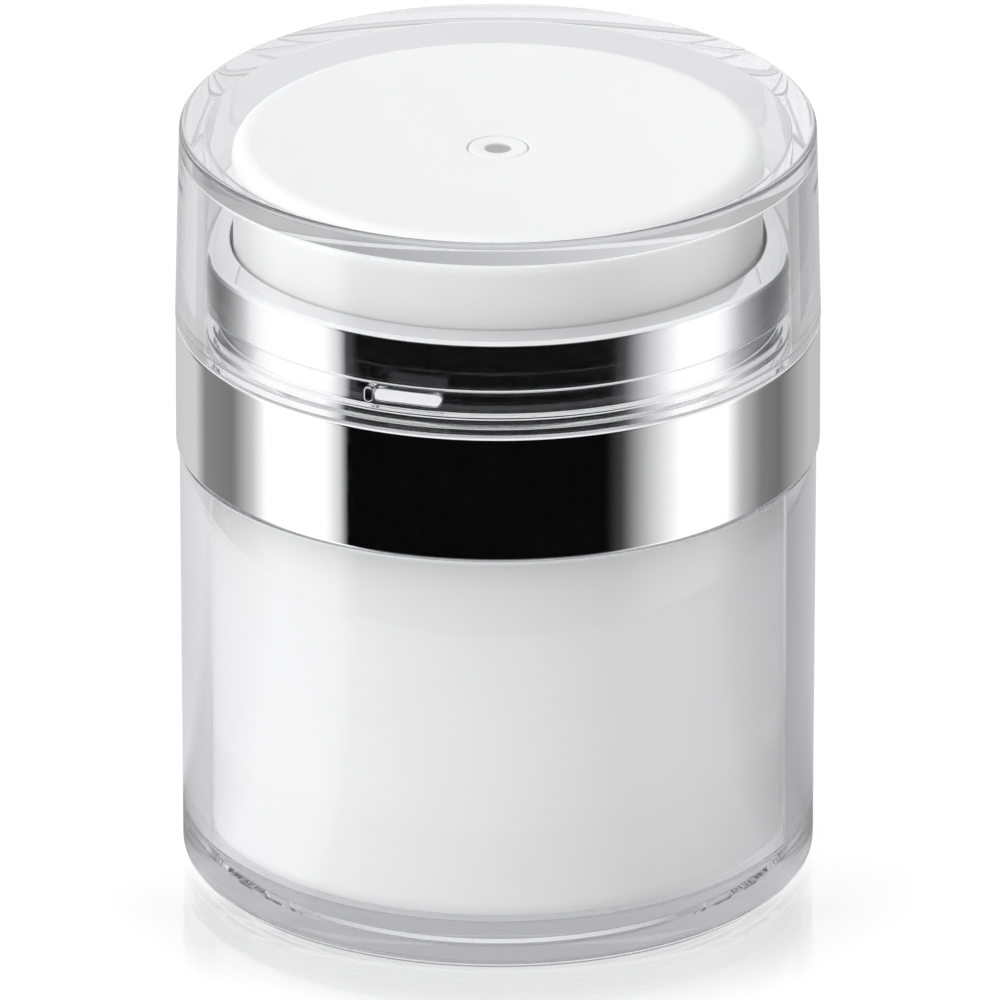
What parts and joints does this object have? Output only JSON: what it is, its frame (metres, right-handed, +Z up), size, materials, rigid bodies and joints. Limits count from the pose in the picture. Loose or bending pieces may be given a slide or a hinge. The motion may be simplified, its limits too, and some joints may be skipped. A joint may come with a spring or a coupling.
{
  "type": "airless pump jar",
  "caption": "Clear-walled round cosmetic jar with a white inner cup, bright plated shoulder, press-disc airless pump and clear lift-off cap.",
  "frame": {"origin": "centre of the foot ring, on the surface that the jar stands on", "axes": "+Z up along the jar's axis, -Y towards the front of the picture, +X to its right"},
  "size_m": [0.0648, 0.0648, 0.079],
  "materials": {
    "clear_acrylic": "polished",
    "white_plastic": "satin",
    "plated_silver": "polished",
    "natural_plastic": "satin",
    "soft_silicone": "matte",
    "spring_steel": "satin"
  },
  "bodies": {
    "jar": {"outer_jar": "clear_acrylic", "inner_cup": "white_plastic"},
    "follower": {"follower_piston": "natural_plastic"},
    "liner": {"closure_liner": "soft_silicone"},
    "pump_head": {"shoulder": "plated_silver", "pump_closure": "natural_plastic", "cylinder_gasket": "soft_silicone", "pump_cylinder": "natural_plastic", "spring_seat": "natural_plastic"},
    "inlet": {"inlet_valve": "soft_silicone"},
    "actuator": {"press_disc": "white_plastic", "outlet_nozzle": "white_plastic", "outlet_valve": "soft_silicone", "pump_stem": "natural_plastic", "pump_piston": "natural_plastic", "return_spring": "spring_steel"},
    "cap": {"cap": "clear_acrylic"}
  },
  "joints": [
    {"name": "head_lift", "type": "slide", "parent": "jar", "child": "liner", "axis": [0, 0, 1], "range_m": [0, 0.00525]},
    {"name": "head_turn", "type": "hinge", "parent": "liner", "child": "pump_head", "pos_m": [0, 0, 0.055], "axis": [0, 0, 1], "range_deg": [0, 630]},
    {"name": "press", "type": "slide", "parent": "pump_head", "child": "actuator", "axis": [0, 0, -1], "range_m": [0, 0.005], "stiffness_N_per_m": 2000, "springref_m": -0.002, "deforming": ["return_spring"]},
    {"name": "inlet_valve_lift", "type": "slide", "parent": "pump_head", "child": "inlet", "axis": [0, 0, 1], "range_m": [0, 0.0008]},
    {"name": "cap_lift", "type": "slide", "parent": "pump_head", "child": "cap", "axis": [0, 0, 1], "range_m": [0, 0.03]},
    {"name": "follower_rise", "type": "slide", "parent": "jar", "child": "follower", "axis": [0, 0, 1], "range_m": [0, 0.024]}
  ],
  "couplings": [
    {"joint": "head_turn", "follows": "head_lift", "rad_per_m": 2094.4}
  ]
}
